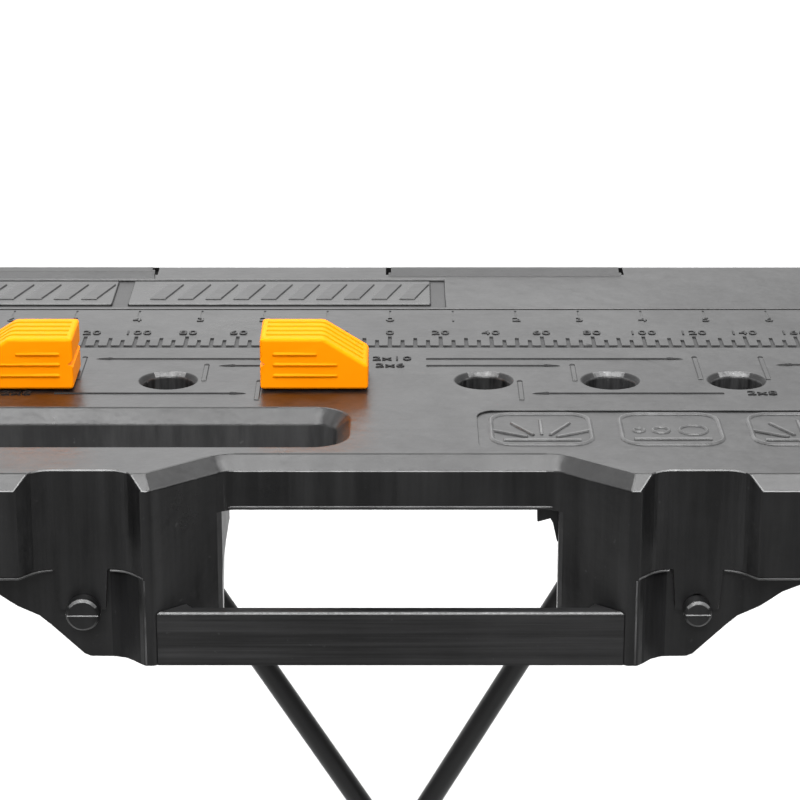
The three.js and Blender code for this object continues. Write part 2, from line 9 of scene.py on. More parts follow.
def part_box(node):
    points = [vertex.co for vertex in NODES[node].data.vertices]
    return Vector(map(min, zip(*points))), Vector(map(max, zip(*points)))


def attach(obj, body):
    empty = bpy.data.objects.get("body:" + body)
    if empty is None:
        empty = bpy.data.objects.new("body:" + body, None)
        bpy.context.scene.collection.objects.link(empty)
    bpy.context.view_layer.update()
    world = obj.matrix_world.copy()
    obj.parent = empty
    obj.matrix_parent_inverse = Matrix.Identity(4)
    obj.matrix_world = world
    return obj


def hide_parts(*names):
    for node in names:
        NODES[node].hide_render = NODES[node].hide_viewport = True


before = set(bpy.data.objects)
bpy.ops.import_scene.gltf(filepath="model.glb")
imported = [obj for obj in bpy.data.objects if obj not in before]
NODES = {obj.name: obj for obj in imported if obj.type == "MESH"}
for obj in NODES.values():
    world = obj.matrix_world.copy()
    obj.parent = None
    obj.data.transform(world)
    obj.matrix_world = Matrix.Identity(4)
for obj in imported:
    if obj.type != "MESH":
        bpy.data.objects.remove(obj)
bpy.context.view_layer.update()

# The drawing frame of the bench: X right, Y back from the front face of the top,
# Z up from the work surface, in millimetres. L() puts such a point in the scene.
Y0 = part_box("tabletop")[0].y
HEIGHT = 0.790


def L(x, y, z):
    return Vector((x * 0.001, Y0 + y * 0.001, HEIGHT + z * 0.001))


# ------------------------------------------------------------------ materials
def material(name):
    m = bpy.data.materials.new(name)
    m.use_nodes = True
    nt = m.node_tree
    bsdf = next(n for n in nt.nodes if n.type == "BSDF_PRINCIPLED")
    return m, nt, bsdf


def mapped(nt, scale):
    co = nt.nodes.new("ShaderNodeTexCoord")
    mp = nt.nodes.new("ShaderNodeMapping")
    mp.inputs["Scale"].default_value = scale
    nt.links.new(co.outputs["Object"], mp.inputs["Vector"])
    return mp.outputs["Vector"]


def noise(nt, vector, scale=1.0, detail=3.0, rough=0.55):
    n = nt.nodes.new("ShaderNodeTexNoise")
    n.inputs["Scale"].default_value = scale
    n.inputs["Detail"].default_value = detail
    n.inputs["Roughness"].default_value = rough
    nt.links.new(vector, n.inputs["Vector"])
    return n.outputs["Fac"]


def ranged(nt, fac, lo, hi, from_lo=0.3, from_hi=0.7):
    r = nt.nodes.new("ShaderNodeMapRange")
    r.inputs["From Min"].default_value = from_lo
    r.inputs["From Max"].default_value = from_hi
    r.inputs["To Min"].default_value = lo
    r.inputs["To Max"].default_value = hi
    nt.links.new(fac, r.inputs["Value"])
    return r.outputs["Result"]


def ramp(nt, fac, stops):
    c = nt.nodes.new("ShaderNodeValToRGB")
    els = c.color_ramp.elements
    while len(els) < len(stops):
        els.new(0.5)
    for e, (p, col) in zip(els, stops):
        e.position = p
        e.color = (*col, 1.0)
    nt.links.new(fac, c.inputs["Fac"])
    return c.outputs["Color"]


def bump(nt, height, strength, distance, normal=None):
    b = nt.nodes.new("ShaderNodeBump")
    b.inputs["Strength"].default_value = strength
    b.inputs["Distance"].default_value = distance
    nt.links.new(height, b.inputs["Height"])
    if normal is not None:
        nt.links.new(normal, b.inputs["Normal"])
    return b.outputs["Normal"]


def moulded(name, dark, light, rough_lo, rough_hi, streak=(130, 130, 7), streak_depth=0.00012, grain=0.1, wave=0.0):
    """Satin moulded black plastic: fine grain, flow marks from the mould, uneven gloss, faint scuffs and specks."""
    m, nt, bsdf = material(name)
    cloud = noise(nt, mapped(nt, (1, 1, 1)), 16.0, 5.0, 0.6)
    flow = noise(nt, mapped(nt, streak), 1.0, 5.0, 0.65)
    scuff = noise(nt, mapped(nt, (38, 520, 520)), 1.0, 2.0, 0.5)
    fine = noise(nt, mapped(nt, (1, 1, 1)), 2100.0, 2.0, 0.6)
    speck = noise(nt, mapped(nt, (1, 1, 1)), 420.0, 1.0, 0.4)
    both = nt.nodes.new("ShaderNodeMath")
    both.operation = "MULTIPLY_ADD"
    nt.links.new(flow, both.inputs[0])
    both.inputs[1].default_value = 0.8
    nt.links.new(ranged(nt, cloud, 0.0, 0.2, 0.2, 0.8), both.inputs[2])
    dusty = nt.nodes.new("ShaderNodeMath")
    dusty.operation = "ADD"
    nt.links.new(both.outputs[0], dusty.inputs[0])
    nt.links.new(ranged(nt, speck, 0.0, 0.5, 0.74, 0.86), dusty.inputs[1])
    bright = tuple(c * 2.4 for c in light)
    nt.links.new(ramp(nt, dusty.outputs[0], [(0.40, dark), (0.60, light), (1.0, bright)]), bsdf.inputs["Base Color"])
    mix = nt.nodes.new("ShaderNodeMath")
    mix.operation = "MULTIPLY_ADD"
    nt.links.new(ranged(nt, scuff, 0.0, 0.035, 0.60, 0.75), mix.inputs[0])
    mix.inputs[1].default_value = 1.0
    nt.links.new(ranged(nt, cloud, rough_lo, rough_hi), mix.inputs[2])
    nt.links.new(mix.outputs[0], bsdf.inputs["Roughness"])
    n1 = bump(nt, flow, 0.35, streak_depth, bump(nt, cloud, 0.5, wave) if wave else None)
    n2 = bump(nt, fine, grain, 0.00015, n1)
    nt.links.new(n2, bsdf.inputs["Normal"])
    bsdf.inputs["Specular IOR Level"].default_value = 0.55
    return m


def simple(name, stops, rough, metallic=0.0, noise_scale=30.0, grain_scale=1500.0, grain=0.15, grain_depth=0.0001, specular=0.5):
    m, nt, bsdf = material(name)
    cloud = noise(nt, mapped(nt, (1, 1, 1)), noise_scale, 4.0, 0.6)
    fine = noise(nt, mapped(nt, (1, 1, 1)), grain_scale, 2.0, 0.55)
    nt.links.new(ramp(nt, cloud, stops), bsdf.inputs["Base Color"])
    nt.links.new(ranged(nt, cloud, *rough), bsdf.inputs["Roughness"])
    nt.links.new(bump(nt, fine, grain, grain_depth), bsdf.inputs["Normal"])
    bsdf.inputs["Metallic"].default_value = metallic
    bsdf.inputs["Specular IOR Level"].default_value = specular
    return m


TOP_MAT = moulded("moulded_black_top", (0.0022, 0.0022, 0.0024), (0.0112, 0.0112, 0.0115), 0.27, 0.38, wave=0.0028)
BAR_MAT = moulded("moulded_black_bar", (0.0040, 0.0040, 0.0042), (0.0180, 0.0180, 0.0185), 0.32, 0.43, streak=(9, 330, 560), streak_depth=0.0003)
# Duller finish of the raised marks; also put on the walls under the skirt as painted fill that evens out their shade.
MARKS_AND_SHADE_FILL_MAT = moulded("black_marks_and_painted_fill", (0.010, 0.010, 0.0105), (0.016, 0.016, 0.0165), 0.50, 0.60, grain=0.2)
MARKS_AND_SHADE_FILL_MAT.node_tree.nodes["Principled BSDF"].inputs["Specular IOR Level"].default_value = 0.16
# Lighter copy of the black for the slot walls: painted light.
SLOT_WALL_LIGHT_MAT = moulded("painted_light_slot_walls", (0.020, 0.020, 0.0205), (0.038, 0.038, 0.0385), 0.42, 0.55, streak=(160, 160, 20))
# Lighter copy of the black for the walls of the dog holes: painted light.
HOLE_WALL_LIGHT_MAT = moulded("painted_light_hole_walls", (0.004, 0.004, 0.0042), (0.030, 0.030, 0.0305), 0.32, 0.42, streak=(420, 420, 30))
# Much lighter copy of the black: painted highlights on the hole rims, the grip bar's chamfer and the peg rims.
PAINTED_HIGHLIGHT_MAT = moulded("painted_highlight_black", (0.030, 0.030, 0.0303), (0.130, 0.130, 0.131), 0.26, 0.36, streak=(420, 420, 30))
# The next two are lighter copies of the black for thin beads and lines along front edges: painted highlights.
EDGE_HIGHLIGHT_MAT = moulded("painted_highlight_edges", (0.012, 0.012, 0.0123), (0.075, 0.075, 0.076), 0.34, 0.46, streak=(60, 60, 60))
LINE_HIGHLIGHT_MAT = moulded("painted_highlight_lines", (0.06, 0.06, 0.0605), (0.15, 0.15, 0.151), 0.26, 0.36, grain=0.2)
TICK_MAT = moulded("moulded_black_scale", (0.013, 0.013, 0.0133), (0.020, 0.020, 0.0205), 0.42, 0.52, grain=0.2)
TICK_MAT.node_tree.nodes["Principled BSDF"].inputs["Specular IOR Level"].default_value = 0.27
# Lighter copy of the black for the panel frames and aids: painted highlight on the ridges.
FRAME_HIGHLIGHT_MAT = moulded("painted_highlight_frames", (0.045, 0.045, 0.0453), (0.075, 0.075, 0.0755), 0.32, 0.42, grain=0.2)
BAND_MAT = moulded("moulded_black_sunk", (0.010, 0.010, 0.0103), (0.014, 0.014, 0.0143), 0.44, 0.52, grain=0.3)
PLATE_MAT = moulded("moulded_black_plate", (0.010, 0.010, 0.0103), (0.016, 0.016, 0.0163), 0.24, 0.30)
ORANGE = simple("moulded_orange", [(0.3, (0.97, 0.262, 0.001)), (0.7, (1.0, 0.288, 0.002))], (0.34, 0.44), noise_scale=45.0, grain=0.06, specular=0.02)
COAT = simple("black_powder_coat", [(0.3, (0.006, 0.006, 0.0064)), (0.7, (0.010, 0.010, 0.0104))], (0.28, 0.38), noise_scale=22.0, grain_scale=1100.0, grain=0.25, grain_depth=0.00012)
ZINC = simple("zinc_plate", [(0.3, (0.50, 0.51, 0.52)), (0.7, (0.66, 0.67, 0.68))], (0.26, 0.42), metallic=1.0, noise_scale=120.0, grain_scale=2600.0, grain=0.12)
RUBBER = simple("black_rubber", [(0.3, (0.011, 0.011, 0.011)), (0.7, (0.018, 0.018, 0.018))], (0.62, 0.82), noise_scale=60.0, grain_scale=1900.0, grain=0.35, grain_depth=0.00016)


# --------------------------------------------------------------------- meshes
def add(name, bm, mat, body, sharp=38.0, weighted=True):
    """Puts a bmesh in the scene as a piece riding on a body, smooth with its hard edges kept."""
    bmesh.ops.recalc_face_normals(bm, faces=bm.faces)
    me = bpy.data.meshes.new(name)
    bm.to_mesh(me)
    bm.free()
    ob = bpy.data.objects.new(name, me)
    bpy.context.scene.collection.objects.link(ob)
    me.polygons.foreach_set("use_smooth", [True] * len(me.polygons))
    me.set_sharp_from_angle(angle=math.radians(sharp))
    if weighted:
        w = ob.modifiers.new("weighted", "WEIGHTED_NORMAL")
        w.keep_sharp = True
        w.weight = 80
        apply_modifiers(ob)
    me = ob.data
    me.materials.clear()
    me.materials.append(mat)
    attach(ob, body)
    return ob


def flatten(me, least):
    """Gives every face over a size its own flat shading; the narrow rounded strips between them blend."""
    normals = [tuple(c.vector) for c in me.corner_normals]
    for f in me.polygons:
        if f.area > least:
            for i in f.loop_indices:
                normals[i] = tuple(f.normal)
    me.normals_split_custom_set(normals)


def apply_modifiers(ob):
    bpy.context.view_layer.update()
    dg = bpy.context.evaluated_depsgraph_get()
    me = bpy.data.meshes.new_from_object(ob.evaluated_get(dg), depsgraph=dg)
    old = ob.data
    ob.modifiers.clear()
    ob.data = me
    bpy.data.meshes.remove(old)


def node_bm(node):
    """A CAD node's faces, welded and merged into whole flat faces."""
    bm = bmesh.new()
    bm.from_mesh(NODES[node].data)
    bmesh.ops.remove_doubles(bm, verts=bm.verts, dist=2e-6)
    bmesh.ops.dissolve_limit(bm, angle_limit=math.radians(0.6), verts=bm.verts, edges=bm.edges)
    return bm


def sharp_edges(bm, angle=24.0):
    lim = math.radians(angle)
    return [e for e in bm.edges if len(e.link_faces) == 2 and e.is_convex and e.calc_face_angle(0.0) > lim]


def round_edges(bm, edges, width, segments=2):
    if edges:
        bmesh.ops.bevel(bm, geom=edges, offset=width, offset_type="OFFSET", segments=segments, profile=0.5, affect="EDGES", clamp_overlap=False)


def rounded_node(node, name, mat, body, width, segments=2, angle=24.0, pick=None):
    bm = node_bm(node)
    edges = sharp_edges(bm, angle)
    if pick:
        edges = [e for e in edges if pick(e)]
    round_edges(bm, edges, width, segments)
    ob = add(name, bm, mat, body)
    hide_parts(node)
    return ob


def basis(direction):
    w = Vector(direction).normalized()
    u = w.orthogonal().normalized()
    return u, w.cross(u), w


def revolve(bm, profile, origin, direction, seg=40):
    """Turns [along, radius] pairs round a line; the ends on the axis close it."""
    u, v, w = basis(direction)
    rings = []
    for a, r in profile:
        c = Vector(origin) + w * a
        if r < 1e-9:
            rings.append([bm.verts.new(c)])
        else:
            rings.append([bm.verts.new(c + u * (r * math.cos(t)) + v * (r * math.sin(t))) for t in (2 * math.pi * i / seg for i in range(seg))])
    for a, b in zip(rings, rings[1:]):
        for i in range(seg):
            j = (i + 1) % seg
            if len(a) == 1 and len(b) == 1:
                continue
            if len(a) == 1:
                bm.faces.new((a[0], b[i], b[j]))
            elif len(b) == 1:
                bm.faces.new((a[i], a[j], b[0]))
            else:
                bm.faces.new((a[i], a[j], b[j], b[i]))


def turned(name, profile, origin, direction, mat, body, nodes, seg=40, sharp=38.0):
    bm = bmesh.new()
    revolve(bm, [(a * 0.001, r * 0.001) for a, r in profile], origin, direction, seg)
    ob = add(name, bm, mat, body, sharp=sharp)
    if nodes:
        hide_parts(*nodes)
    return ob


def cutter(bm, name="cutter"):
    bmesh.ops.recalc_face_normals(bm, faces=bm.faces)
    me = bpy.data.meshes.new(name)
    bm.to_mesh(me)
    bm.free()
    ob = bpy.data.objects.new(name, me)
    bpy.context.scene.collection.objects.link(ob)
    return ob


def boolean(ob, tools, operation):
    for t in tools:
        mod = ob.modifiers.new("b", "BOOLEAN")
        mod.operation = operation
        mod.solver = "EXACT"
        mod.object = t
    apply_modifiers(ob)
    for t in tools:
        me = t.data
        bpy.data.objects.remove(t)
        bpy.data.meshes.remove(me)


def tube(name, p0, p1, r, bore, mat, body, node, holes=(), seg=56):
    """A round tube with softened rims; holes are [point, direction, radius] drilled through it."""
    d = (p1 - p0)
    n = d.length
    e = 0.0006
    bm = bmesh.new()
    u, v, w = basis(d)
    prof = [(0, bore), (0, r - e), (e, r), (n - e, r), (n, r - e), (n, bore)]
    rings = [[bm.verts.new(p0 + w * a + u * (q * math.cos(t)) + v * (q * math.sin(t))) for t in (2 * math.pi * i / seg for i in range(seg))] for a, q in prof]
    for a, b in zip(rings, rings[1:] + rings[:1]):
        for i in range(seg):
            j = (i + 1) % seg
            bm.faces.new((a[i], a[j], b[j], b[i]))
    if holes:
        ob = cutter(bm, name)
        tools = []
        for c, direction, hr in holes:
            hb = bmesh.new()
            k = Vector(direction).normalized() * 0.03
            revolve(hb, [(0, 0), (0, hr), (2 * k.length, hr), (2 * k.length, 0)], Vector(c) - k, k, 24)
            tools.append(cutter(hb))
        boolean(ob, tools, "DIFFERENCE")
        bm = bmesh.new()
        bm.from_mesh(ob.data)
        old = ob.data
        bpy.data.objects.remove(ob)
        bpy.data.meshes.remove(old)
    ob = add(name, bm, mat, body)
    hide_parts(node)
    return ob


# ------------------------------------------------------------------- tabletop
def folded(bm, bvh):
    """Corners of triangles that face away from the CAD surface they lie on."""
    t = bm.copy()
    bmesh.ops.triangulate(t, faces=t.faces)
    out = []
    for f in t.faces:
        if f.calc_area() < 1e-10:
            continue
        near = bvh.find_nearest(f.calc_center_median())
        if near[1] is not None and f.normal.dot(near[1]) < -0.25:
            out += [v.co.copy() for v in f.verts]
    t.free()
    return out


def rounded_bm(node, classes, tries=8):
    """Rounds classes of edges, [width, test] each; where that folds the mesh, nearby edges stay sharp."""
    src = bmesh.new()
    src.from_mesh(NODES[node].data)
    bvh = BVHTree.FromBMesh(src)
    src.free()
    keep_off = []
    for k in range(tries):
        bm = node_bm(node)
        groups = []
        for width, test in classes:
            groups.append([e for e in sharp_edges(bm, 24.0) if test(e) and not any((v.co - q).length < 0.0016 for v in e.verts for q in keep_off)])
        for (width, test), edges in zip(classes, groups):
            round_edges(bm, [e for e in edges if e.is_valid], width, 2)
        bmesh.ops.recalc_face_normals(bm, faces=bm.faces)
        bad = folded(bm, bvh)
        if not bad or k == tries - 1:
            return bm
        keep_off += bad
        bm.free()


def mm(e):
    """The two ends of an edge in the drawing frame."""
    return [((v.co.x) * 1000, (v.co.y - Y0) * 1000, (v.co.z - HEIGHT) * 1000) for v in e.verts]


def is_shallow(e):
    p = mm(e)
    panel = all(x > 31 and 27 < y < 73.5 for x, y, z in p)
    return all(-1.3 < z < 0.05 for x, y, z in p) and (panel or all(198 < y < 203 for x, y, z in p))


def is_plate(e):
    return all(-1.3 < z < 0.05 and 203 < y < 246 for x, y, z in mm(e))


def is_outer(e):
    p = mm(e)
    if is_shallow(e) or is_plate(e):
        return False
    if all(y > 243 and z > -14.5 and min(abs(x - q) for q in (-99.8, -0.9, 97.8)) < 2 for x, y, z in p):
        return False
    if all(z > 0.5 for x, y, z in p):
        return True
    handle = all(y < 33 and abs(x) < 131 for x, y, z in p)
    if min(z for x, y, z in p) < -5.9 and all(z > -36.9 and 5 < y < 266 and abs(x) < 318 for x, y, z in p) and not handle:
        return False
    if all(-37.1 < z < -24 and 20 < y < 262 and abs(x) < 314 for x, y, z in p) and not handle:
        return False
    return True


def plan_cutter(bm, pts, z0, z1):
    low = [bm.verts.new(L(x, y, z0)) for x, y in pts]
    top = [bm.verts.new(L(x, y, z1)) for x, y in pts]
    n = len(pts)
    bm.faces.new(low[::-1])
    bm.faces.new(top)
    for i in range(n):
        j = (i + 1) % n
        bm.faces.new((low[i], low[j], top[j], top[i]))


RULER_Y, STEP_Y = 149.7, 199.4
HOLES = [s * x for s in (-1, 1) for x in (35.7, 83.3, 130.9, 178.5, 226.1)]
REACH = 285


def ruler_cutter():
    """The engraved scale: one comb with a tooth every 5 mm, longer at 10 and 20 mm."""
    bm = bmesh.new()
    pts = [(-REACH - 0.85, RULER_Y - 1.7), (REACH + 0.85, RULER_Y - 1.7)]
    for k in range(REACH // 5, -REACH // 5 - 1, -1):
        x = 5 * k
        end = RULER_Y + (13.2 if k % 4 == 0 else (11.2 if k % 2 == 0 else 8.6))
        pts += [(x + 0.85, RULER_Y + 1.5), (x + 0.75, end), (x - 0.75, end), (x - 0.85, RULER_Y + 1.5)]
    plan_cutter(bm, pts, -0.6, 1.0)
    # Inch marks in front of the step line.
    for k in range(-11, 12):
        x = 25.4 * k
        plan_cutter(bm, [(x - 0.4, STEP_Y - 9.6), (x + 0.4, STEP_Y - 9.6), (x + 0.4, STEP_Y - 1.4), (x - 0.4, STEP_Y - 1.4)], -0.3, 1.0)
    return cutter(bm, "ruler")


def top_shell():
    bm = rounded_bm("tabletop", [(0.00055, is_outer), (0.00026, is_shallow), (0.0006, is_plate)])
    ob = cutter(bm, "top_blank")
    boolean(ob, [ruler_cutter()], "DIFFERENCE")
    bm = bmesh.new()
    bm.from_mesh(ob.data)
    old = ob.data
    bpy.data.objects.remove(ob)
    bpy.data.meshes.remove(old)
    ob = add("top_shell", bm, TOP_MAT, "top", sharp=40)
    for m in (SLOT_WALL_LIGHT_MAT, BAND_MAT, PLATE_MAT, HOLE_WALL_LIGHT_MAT, TICK_MAT, PAINTED_HIGHLIGHT_MAT, MARKS_AND_SHADE_FILL_MAT):
        ob.data.materials.append(m)
    for f in ob.data.polygons:
        x, y, z = f.center.x * 1000, (f.center.y - Y0) * 1000, (f.center.z - HEIGHT) * 1000
        up = f.normal.z
        # Painted light: the slot walls get a lighter copy of the black, standing in for light reaching into the slot.
        if abs(up) < 0.5 and -233 < x < -17 and 35.5 < y < 72 and -36 < z < -4.8:
            f.material_index = 1
        # Painted light: the walls of the dog holes get a lighter copy of the black.
        elif abs(up) < 0.5 and -36 < z < -1.9 and min(math.hypot(x - h, y - 107.5) for h in HOLES) < 10.3:
            f.material_index = 4
        # Painted reflection: the chamfer round each hole gets the highlight material in the middle and the duller
        # scale finish at the sides.
        elif 0.3 < up < 0.93 and f.normal.y < 0.1 and -2.6 < z < 0 and min(math.hypot(x - h, y - 107.5) for h in HOLES) < 11.6:
            f.material_index = 6 if min(abs(x - h) for h in HOLES) < 6.4 else 5
        # Painted shade evened out: the curved front walls under the skirt beside the cheeks get the duller, lighter
        # marks finish.
        elif abs(up) < 0.5 and f.normal.y < 0 and 84 < abs(x) < 99.5 and -1 < y < 14 and -72 < z < -37.9:
            f.material_index = 7
        elif RULER_Y - 1.8 < y < RULER_Y + 13.3 and -0.7 < z < -0.05:
            f.material_index = 5
        elif up > 0.7 and y > 246.5:
            f.material_index = 2
        elif up > 0.9 and -305 < x < 23 and 203 < y < 245 and -1.2 < z < -0.9:
            f.material_index = 2
        elif up > 0.9 and (-238.2 < x < -113.8 or -107.9 < x < 16.9) and 208.4 < y < 241.6 and abs(z) < 0.2:
            f.material_index = 3
    flatten(ob.data, 2.0e-5)
    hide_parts("tabletop")
    return ob


def lighter(ob, mat, test):
    """Gives the faces of a piece that pass a test on their normal another material; used here to paint highlights."""
    ob.data.materials.append(mat)
    k = len(ob.data.materials) - 1
    for f in ob.data.polygons:
        if test(f.normal):
            f.material_index = k


def edge_bead(bm, path, z, r, proud, sides=10):
    """A thin moulded bead along a path in plan, standing proud of the wall; the wall is on the left of the path."""
    rows = []
    n = len(path)
    for i, (x, y) in enumerate(path):
        a, b = Vector(path[max(i - 1, 0)]), Vector(path[min(i + 1, n - 1)])
        d = (b - a).normalized()
        out = Vector((d.y, -d.x))
        c = Vector((x, y)) + out * (proud - r)
        rows.append([bm.verts.new(L(c.x + out.x * r * math.cos(t), c.y + out.y * r * math.cos(t), z + r * math.sin(t))) for t in (2 * math.pi * j / sides for j in range(sides))])
    for a, b in zip(rows, rows[1:]):
        for i in range(sides):
            j = (i + 1) % sides
            bm.faces.new((a[i], a[j], b[j], b[i]))
    bm.faces.new(rows[0])
    bm.faces.new(rows[-1][::-1])


def curve(a, b, c, n=10):
    return [tuple((1 - t) ** 2 * a[k] + 2 * t * (1 - t) * b[k] + t * t * c[k] for k in (0, 1)) for t in (i / n for i in range(n + 1))]


def chamfer_strip(bm, a, b, w):
    """A thin lighter strip on the front chamfer, a painted highlight where the chamfer rounds the corner, along a line
    from a to b in plan and w wide.
    """
    ring = [a, b, (b[0] + w, b[1]), (a[0] + w, a[1])]
    low = [bm.verts.new(L(x, y + 0.2, y - 5.2)) for x, y in ring]
    top = [bm.verts.new(L(x, y - 0.04, y - 4.96)) for x, y in ring]
    for i in range(4):
        j = (i + 1) % 4
        bm.faces.new((low[i], low[j], top[j], top[i]))
    bm.faces.new(top)
    bm.faces.new(low[::-1])


def edge_beads():
    """Fine beads along the lower edges of the skirt and of the grip wall, and thin lines along other front edges, all
    in lighter materials as painted highlights.
    """
    bm, fine = bmesh.new(), bmesh.new()
    for s, k in ((-1, 0.0), (1, 1.9)):
        inner = [(84.9 + k, 0)] + curve((88.6 + k, 4.2), (91.9 + k, 8), (97 + k / 2, 8))
        outer = [(117.1, 8)] + curve((115.8, 8), (120.9, 8), (124.2, 4.2))[3:] + [(127.9, 0), (301, 0)]
        for run in (inner, outer):
            pts = [(s * x, y) for x, y in run]
            edge_bead(bm, pts if s > 0 else pts[::-1], -37.35, 0.42, 0.3)
        # The upper edge of the scallop and the lower edge of the chamfer outside it, each with a flat facet, painted
        # lighter as highlight lines.
        upper = [q for q in curve((88.6 + k, 4.2), (91.9 + k, 8), (97 + k / 2, 8)) + curve((115.8, 8), (120.9, 8), (124.2, 4.2)) if q[1] > 5.1]
        pts = [(s * x, y) for x, y in upper]
        edge_bead(fine, pts if s > 0 else pts[::-1], -0.36, 0.42, 0.18, 4)
        for run in ((128.3, 300), (82.6 + k / 2, 84.6 + k)):
            pts = [(s * x, 0) for x in run]
            edge_bead(fine, pts if s > 0 else pts[::-1], -5.1, 0.34, 0.16, 4)
        chamfer_strip(fine, (s * (84.75 + k), 0.2), (s * (88.35 + k), 4.3), -s * 0.5)
        chamfer_strip(fine, (s * 128.05, 0.2), (s * 124.45, 4.3), s * 0.5)
    # Painted highlight lines along the chamfer above the grip wall and along the grip wall's lower edge.
    edge_bead(fine, [(-54.0, 20.2), (55.0, 20.2)], -5.1, 0.24, 0.12, 4)
    edge_bead(bm, [(-56.5, 20.2), (57.5, 20.2)], -18.35, 0.48, 0.32)
    # Thin rods down the front corners of the cheeks, painted highlight lines.
    for x, y in ((-84.5, 0.1), (86.0, 0.1)):
        revolve(bm, [(-69.4e-3, 0), (-69.4e-3, 0.34e-3), (-38e-3, 0.34e-3), (-38e-3, 0)], L(x, y, 0), (0, 0, 1), 14)
    add("edge_beads", bm, EDGE_HIGHLIGHT_MAT, "top", sharp=60, weighted=False)
    add("edge_highlight_lines", fine, LINE_HIGHLIGHT_MAT, "top", sharp=60, weighted=False)


top_shell()
edge_beads()
grip = rounded_node("carry_handle_bar", "handle_grip", BAR_MAT, "top", 0.00025, 2)
flatten(grip.data, 1.0e-5)
# Painted highlight: the grip bar's top-front chamfer gets the lighter highlight material.
lighter(grip, PAINTED_HIGHLIGHT_MAT, lambda n: n.y < -0.6 and n.z > 0.6)


# ------------------------------------------------------ raised marks on the top
class Marks:
    """Raised ribs and outlines on the work surface, gathered in one mesh."""

    def __init__(self, base=0.0, tall=0.38, sink=0.25):
        self.bm = bmesh.new()
        self.base, self.tall, self.sink = base, tall, sink

    def poly(self, pts, tall=None, taper=0.28):
        """A flat-topped raised shape with leaning sides from an outline in plan."""
        tall = self.tall if tall is None else tall
        n = len(pts)
        area = sum(pts[i][0] * pts[(i + 1) % n][1] - pts[(i + 1) % n][0] * pts[i][1] for i in range(n))
        if area < 0:
            pts = pts[::-1]
        inner = inset(pts, taper)
        low = [self.bm.verts.new(L(x, y, self.base - self.sink)) for x, y in pts]
        mid = [self.bm.verts.new(L(x, y, self.base + tall * 0.2)) for x, y in pts]
        top = [self.bm.verts.new(L(x, y, self.base + tall)) for x, y in inner]
        for a, b in ((low, mid), (mid, top)):
            for i in range(n):
                j = (i + 1) % n
                self.bm.faces.new((a[i], a[j], b[j], b[i]))
        self.bm.faces.new(top)
        self.bm.faces.new(low[::-1])

    def bar(self, x0, y0, x1, y1, width, tall=None):
        d = Vector((x1 - x0, y1 - y0))
        d.normalize()
        n = Vector((-d.y, d.x)) * (width / 2)
        self.poly([(x0 - n.x, y0 - n.y), (x1 - n.x, y1 - n.y), (x1 + n.x, y1 + n.y), (x0 + n.x, y0 + n.y)], tall)

    def ring(self, outer, inner, tall=None):
        """A raised closed line between two outlines with the same number of points."""
        tall = self.tall if tall is None else tall
        n = len(outer)
        rows = []
        for pts, z in ((outer, -self.sink), (outer, tall * 0.1), (mixed(outer, inner, 0.26), tall * 0.75), (mixed(outer, inner, 0.42), tall), (mixed(outer, inner, 0.58), tall), (mixed(outer, inner, 0.74), tall * 0.75), (inner, tall * 0.1), (inner, -self.sink)):
            rows.append([self.bm.verts.new(L(x, y, self.base + z)) for x, y in pts])
        for a, b in zip(rows, rows[1:] + rows[:1]):
            for i in range(n):
                j = (i + 1) % n
                self.bm.faces.new((a[i], a[j], b[j], b[i]))

    def done(self, name, mat=None):
        return add(name, self.bm, mat or MARKS_AND_SHADE_FILL_MAT, "top", sharp=30, weighted=False)


def mixed(a, b, t):
    return [(p[0] + (q[0] - p[0]) * t, p[1] + (q[1] - p[1]) * t) for p, q in zip(a, b)]


def inset(pts, d):
    n = len(pts)
    out = []
    for i in range(n):
        p0, p1, p2 = Vector(pts[i - 1]), Vector(pts[i]), Vector(pts[(i + 1) % n])
        a, b = (p1 - p0).normalized(), (p2 - p1).normalized()
        na, nb = Vector((-a.y, a.x)), Vector((-b.y, b.x))
        k = 1 + na.dot(nb)
        m = (na + nb) / k if k > 0.05 else na
        out.append((p1.x + m.x * d, p1.y + m.y * d))
    return out


def round_rect(x0, x1, y0, y1, r, n=8):
    pts = []
    for cx, cy, a0 in ((x1 - r, y0 + r, -90), (x1 - r, y1 - r, 0), (x0 + r, y1 - r, 90), (x0 + r, y0 + r, 180)):
        for i in range(n + 1):
            a = math.radians(a0 + 90 * i / n)
            pts.append((cx + r * math.cos(a), cy + r * math.sin(a)))
    return pts


def circle(cx, cy, r, n=32):
    return [(cx + r * math.cos(2 * math.pi * i / n), cy + r * math.sin(2 * math.pi * i / n)) for i in range(n)]


def label(text, x, y, height, width_scale=0.9, tall=0.34, z=0.0):
    """Plain figures, raised like the rest of the marks."""
    cu = bpy.data.curves.new("label", "FONT")
    cu.body = text
    cu.align_x = "CENTER"
    cu.align_y = "CENTER"
    cu.size = height / 0.70 * 0.001
    cu.extrude = (tall + 0.2) * 0.0005
    cu.resolution_u = 4
    cu.space_character = 1.06
    ob = bpy.data.objects.new("label", cu)
    bpy.context.scene.collection.objects.link(ob)
    bpy.context.view_layer.update()
    dg = bpy.context.evaluated_depsgraph_get()
    me = bpy.data.meshes.new_from_object(ob.evaluated_get(dg), depsgraph=dg)
    bpy.data.objects.remove(ob)
    bpy.data.curves.remove(cu)
    at = L(x, y, z + (tall - 0.2) / 2)
    me.transform(Matrix.Translation(at) @ Matrix.Diagonal((width_scale, 1, 1, 1)))
    return me


def labels(name, items, mat=None):
    bm = bmesh.new()
    for it in items:
        me = label(*it)
        bm.from_mesh(me)
        bpy.data.meshes.remove(me)
    bmesh.ops.remove_doubles(bm, verts=bm.verts, dist=1e-6)
    return add(name, bm, mat or MARKS_AND_SHADE_FILL_MAT, "top", sharp=30, weighted=False)


